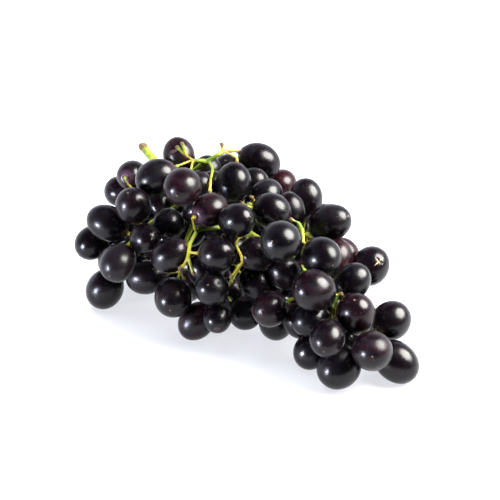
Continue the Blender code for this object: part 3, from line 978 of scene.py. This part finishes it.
# Each light: its direction as the camera sees it (right, up, back), its width in metres, its
# power in watts, its tint, and whether the berries mirror it
LIGHTS = (
    ("window_light", (0.75, 0.55, 0.36), 0.68, 46.0, (1.0, 0.975, 0.93), True),
    ("low_light", (-0.84, -0.32, 0.44), 0.17, 17.0, (0.80, 0.82, 1.0), True),
    ("sky_light", (-0.10, 0.95, 0.20), 1.30, 40.0, (0.86, 0.90, 1.0), False),
)
OVERHEAD = 0.03           # strength of the backdrop overhead
BEHIND = 1.5              # what is added low down behind the bunch
LOW = 0.04                # what is added low down all round


class GRAPES_OT_stage(bpy.types.Operator):
    """Set the pale table, the soft light and the camera"""

    bl_idname = "grapes.stage"
    bl_label = "Stage"
    bl_options = {"REGISTER", "UNDO"}

    def execute(self, context):
        settings = context.scene.grape_stage
        middle = (cad_box[0] + cad_box[1]) / 2
        view = View(settings)
        add_table(settings)
        for name, way, size, power, tint, mirrored in LIGHTS:
            add_light(name, middle, view.direction(*way), size, power, tint, mirrored)
        set_backdrop(settings, view)
        camera = bpy.data.objects.new("camera", bpy.data.cameras.new("camera"))
        camera.data.lens = settings.lens
        camera.data.clip_start = NEAREST_VIEW
        context.scene.collection.objects.link(camera)
        camera.location = middle + Vector(settings.aim) + view.back * settings.distance
        camera.rotation_euler = view.back.to_track_quat("Z", "Y").to_euler()
        context.scene.camera = camera
        context.scene.view_settings.view_transform = "Standard"
        context.scene.view_settings.look = "None"
        return {"FINISHED"}


class View:
    """The camera's own directions."""

    def __init__(self, settings):
        turn, climb = settings.turn, settings.climb
        self.right = Vector((math.cos(turn), math.sin(turn), 0.0))
        flat = math.cos(climb)
        self.back = Vector((math.sin(turn) * flat, -math.cos(turn) * flat, math.sin(climb)))
        self.up = self.back.cross(self.right)

    def direction(self, right, up, back):
        """A direction given as the camera sees it."""
        return (self.right * right + self.up * up + self.back * back).normalized()


def add_table(settings):
    """A wide pale table top under the lowest berries."""
    mesh = bpy.data.meshes.new("table")
    plane = bmesh.new()
    bmesh.ops.create_grid(plane, x_segments=1, y_segments=1, size=TABLE_REACH)
    plane.to_mesh(mesh)
    plane.free()
    table = new_object("table", mesh, table_skin(settings))
    table.location.z = cad_box[0].z


def add_light(name, middle, way, size, power, tint, mirrored):
    """A round soft light that shines on the bunch from one direction, and may show in its skin."""
    light = bpy.data.objects.new(name, bpy.data.lights.new(name, "AREA"))
    light.data.shape = "DISK"
    light.data.size = size
    light.data.energy = power
    light.data.color = tint
    light.location = middle + way * LIGHT_DISTANCE
    light.location.z = max(light.location.z, size / 2 + cad_box[0].z)
    light.rotation_euler = (light.location - middle).to_track_quat("Z", "Y").to_euler()
    light.visible_glossy = mirrored
    bpy.context.scene.collection.objects.link(light)


def set_backdrop(settings, view):
    """Bright low down behind the bunch, and dim elsewhere."""
    world = bpy.data.worlds.new("studio")
    world.use_nodes = True
    bpy.context.scene.world = world
    board = Board(world.node_tree)
    way = board.add("ShaderNodeTexCoord").outputs["Generated"]
    flat = Vector((view.back.x, view.back.y, 0.0)).normalized()
    dot = board.add("ShaderNodeVectorMath", {"operation": "DOT_PRODUCT"}, {0: way, 1: flat})
    facing = board.number(dot, "Value")
    height = board.parts(way)[2]
    behind = board.ramp(facing, 0.35, -0.55)
    low = board.ramp(height, 0.85, 0.15)
    strength = OVERHEAD + behind * low * BEHIND + low * LOW
    world.node_tree.links.new(strength.socket, world.node_tree.nodes["Background"].inputs["Strength"])
    world.node_tree.nodes["Background"].inputs["Color"].default_value = settings.backdrop


class GRAPES_PT_panel(bpy.types.Panel):
    """Grapes"""

    bl_idname = "GRAPES_PT_panel"
    bl_label = "Grapes"
    bl_space_type = "VIEW_3D"
    bl_region_type = "UI"
    bl_category = "Grapes"

    def draw(self, context):
        layout = self.layout
        for group in ("grape_berries", "grape_stem", "grape_stage"):
            settings = getattr(context.scene, group)
            column = layout.column()
            for name in settings.bl_rna.properties.keys():
                if name not in {"rna_type", "name"}:
                    column.prop(settings, name)
        for operator in OPERATORS:
            layout.operator(operator.bl_idname)


OPERATORS = (GRAPES_OT_berries, GRAPES_OT_stem, GRAPES_OT_stage)
SETTINGS = {"grape_berries": BerrySettings, "grape_stem": StemSettings, "grape_stage": StageSettings}
CLASSES = (*SETTINGS.values(), *OPERATORS, GRAPES_PT_panel)


def register():
    for cls in CLASSES:
        bpy.utils.register_class(cls)
    for name, group in SETTINGS.items():
        setattr(bpy.types.Scene, name, PointerProperty(type=group))


def unregister():
    for name in SETTINGS:
        delattr(bpy.types.Scene, name)
    for cls in reversed(CLASSES):
        bpy.utils.unregister_class(cls)


def main():
    register()
    bpy.ops.grapes.berries()
    bpy.ops.grapes.stem()
    bpy.ops.grapes.stage()


if __name__ == "__main__":
    main()
